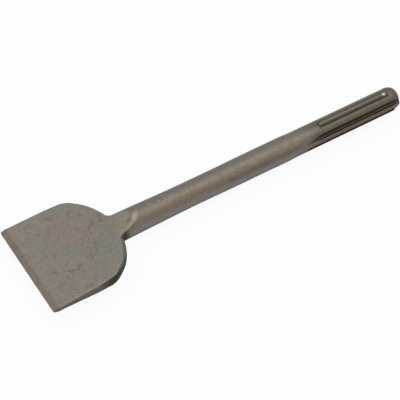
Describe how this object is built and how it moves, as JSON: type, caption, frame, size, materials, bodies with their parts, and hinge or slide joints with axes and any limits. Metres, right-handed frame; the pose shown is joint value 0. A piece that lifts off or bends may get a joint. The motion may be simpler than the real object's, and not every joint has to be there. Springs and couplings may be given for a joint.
{
  "type": "flat chisel",
  "caption": "Wide flat chisel for a rotary hammer, forged in one piece, with a spade-shaped blade, a round shaft and a grooved quick-change shank.",
  "frame": {"origin": "centre of the striking face at the shank's end", "axes": "+X along the chisel to its cutting edge, +Y across the blade towards the paired open grooves, +Z off the blade's flat"},
  "size_m": [0.3, 0.08, 0.0192],
  "materials": {
    "forged_steel": "forged and shot-blasted, dull grey-brown, with a ground edge and a machined shank"
  },
  "bodies": {
    "root": {"flat_chisel": "forged_steel"}
  },
  "joints": []
}
